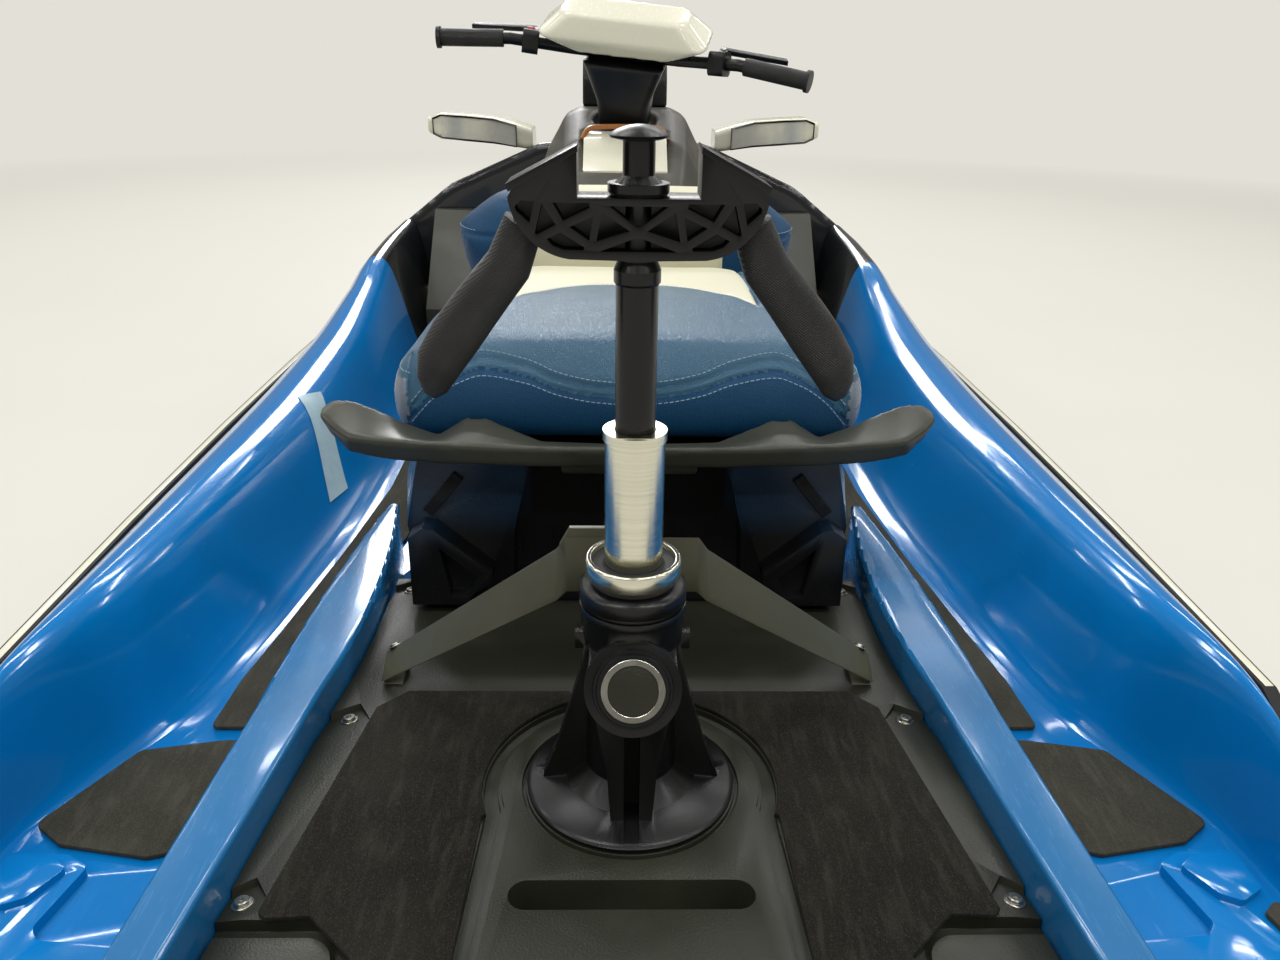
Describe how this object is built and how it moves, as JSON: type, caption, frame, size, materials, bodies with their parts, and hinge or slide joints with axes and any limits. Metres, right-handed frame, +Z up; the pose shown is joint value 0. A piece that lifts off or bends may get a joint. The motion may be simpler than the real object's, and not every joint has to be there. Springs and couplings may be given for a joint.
{
  "type": "personal watercraft",
  "caption": "Personal watercraft with a straddle seat, handlebar, jet pump and a swim platform that carries a telescoping tow mast with side grips.",
  "frame": {"origin": "amidships on the centre line at the waterline", "axes": "+Y towards the bow, +X to starboard, +Z up; Z = 0 is the water surface"},
  "size_m": [1.2544, 3.47, 1.1545],
  "materials": {
    "blue_gelcoat": "gloss metallic blue",
    "white_gelcoat": "gloss",
    "dark_gelcoat": "gloss",
    "black_plastic": "fine grain",
    "olive_plastic": "fine grain",
    "mat_foam": "matte",
    "bumper_rubber": "satin",
    "grip_rubber": "knurled",
    "blue_vinyl": "satin",
    "black_coated": "satin",
    "brushed_aluminium": "brushed",
    "cast_aluminium": "satin",
    "stainless": "brushed",
    "engine_grey": "matte"
  },
  "bodies": {
    "craft": {"bearing_ring": "brushed_aluminium", "bumper": "bumper_rubber", "console": "black_plastic", "deck_pan": "blue_gelcoat", "engine_block": "engine_grey", "floor_mats": "mat_foam", "footwell_panels": "black_plastic", "front_seat": "blue_vinyl", "gauge_pod": "black_plastic", "grab_handle": "olive_plastic", "gunwale_left": "blue_gelcoat", "gunwale_right": "blue_gelcoat", "hull": "white_gelcoat", "intake_grate": "cast_aluminium", "jet_pump": "cast_aluminium", "lock_knob": "black_plastic", "mast_base": "black_coated", "mast_brace": "olive_plastic", "mirror_left": "white_gelcoat", "mirror_right": "white_gelcoat", "nose": "dark_gelcoat", "pedestal": "black_plastic", "platform_mats": "mat_foam", "platform_panel": "olive_plastic", "ride_plate": "black_plastic", "side_rails": "blue_gelcoat", "sponsons": "black_plastic", "step_brackets": "black_plastic", "tow_eyes": "stainless"},
    "rear_seat": {"rear_seat": "blue_vinyl"},
    "hood": {"hood": "white_gelcoat"},
    "glovebox_lid": {"glovebox_lid": "white_gelcoat"},
    "steering": {"steering_neck": "black_plastic", "handlebar": "black_coated", "bar_pad": "white_gelcoat", "hand_grips": "grip_rubber", "control_pods": "black_plastic"},
    "mast_sleeve": {"mast_sleeve": "brushed_aluminium"},
    "mast_head": {"mast_tube": "black_coated", "mast_head": "black_coated", "rope_spool": "stainless", "mast_grips": "grip_rubber"},
    "steering_nozzle": {"steering_nozzle": "cast_aluminium"},
    "reverse_gate": {"reverse_gate": "black_plastic"},
    "impeller": {"impeller": "stainless"},
    "boarding_step": {"boarding_step": "stainless"}
  },
  "joints": [
    {"name": "handlebar_steer", "type": "hinge", "parent": "craft", "child": "steering", "pos_m": [0, 0.15, 0.7], "axis": [0, -0.4067, 0.9135], "range_deg": [-12, 38]},
    {"name": "nozzle_steer", "type": "hinge", "parent": "craft", "child": "steering_nozzle", "pos_m": [0, -1.57, -0.112], "axis": [0, 0, 1], "range_deg": [-30.6, 9.8]},
    {"name": "gate_swing", "type": "hinge", "parent": "craft", "child": "reverse_gate", "pos_m": [0, -1.49, -0.112], "axis": [1, 0, 0], "range_deg": [0, 50]},
    {"name": "impeller_spin", "type": "hinge", "parent": "craft", "child": "impeller", "pos_m": [0, -1.245, -0.112], "axis": [0, 1, 0], "continuous": true},
    {"name": "sleeve_slide", "type": "slide", "parent": "craft", "child": "mast_sleeve", "axis": [0, 0, 1], "range_m": [-0.1, 0]},
    {"name": "mast_slide", "type": "slide", "parent": "mast_sleeve", "child": "mast_head", "axis": [0, 0, 1], "range_m": [-0.105, 0]},
    {"name": "hood_hinge", "type": "hinge", "parent": "craft", "child": "hood", "pos_m": [0, 1.444, 0.512], "axis": [-1, 0, 0], "range_deg": [0, 55]},
    {"name": "glovebox_hinge", "type": "hinge", "parent": "craft", "child": "glovebox_lid", "pos_m": [0, 0.1, 0.66], "axis": [-1, 0, 0], "range_deg": [0, 60]},
    {"name": "seat_lift", "type": "slide", "parent": "craft", "child": "rear_seat", "axis": [0, 0, 1], "range_m": [0, 0.15]},
    {"name": "step_swing", "type": "hinge", "parent": "craft", "child": "boarding_step", "pos_m": [-0.3175, -1.562, 0.05], "axis": [1, 0, 0], "range_deg": [0, 95], "stiffness_Nm_per_rad": 1.5, "springref_deg": -51.57}
  ],
  "couplings": [
    {"joint": "nozzle_steer", "follows": "handlebar_steer", "ratio": -0.8}
  ]
}
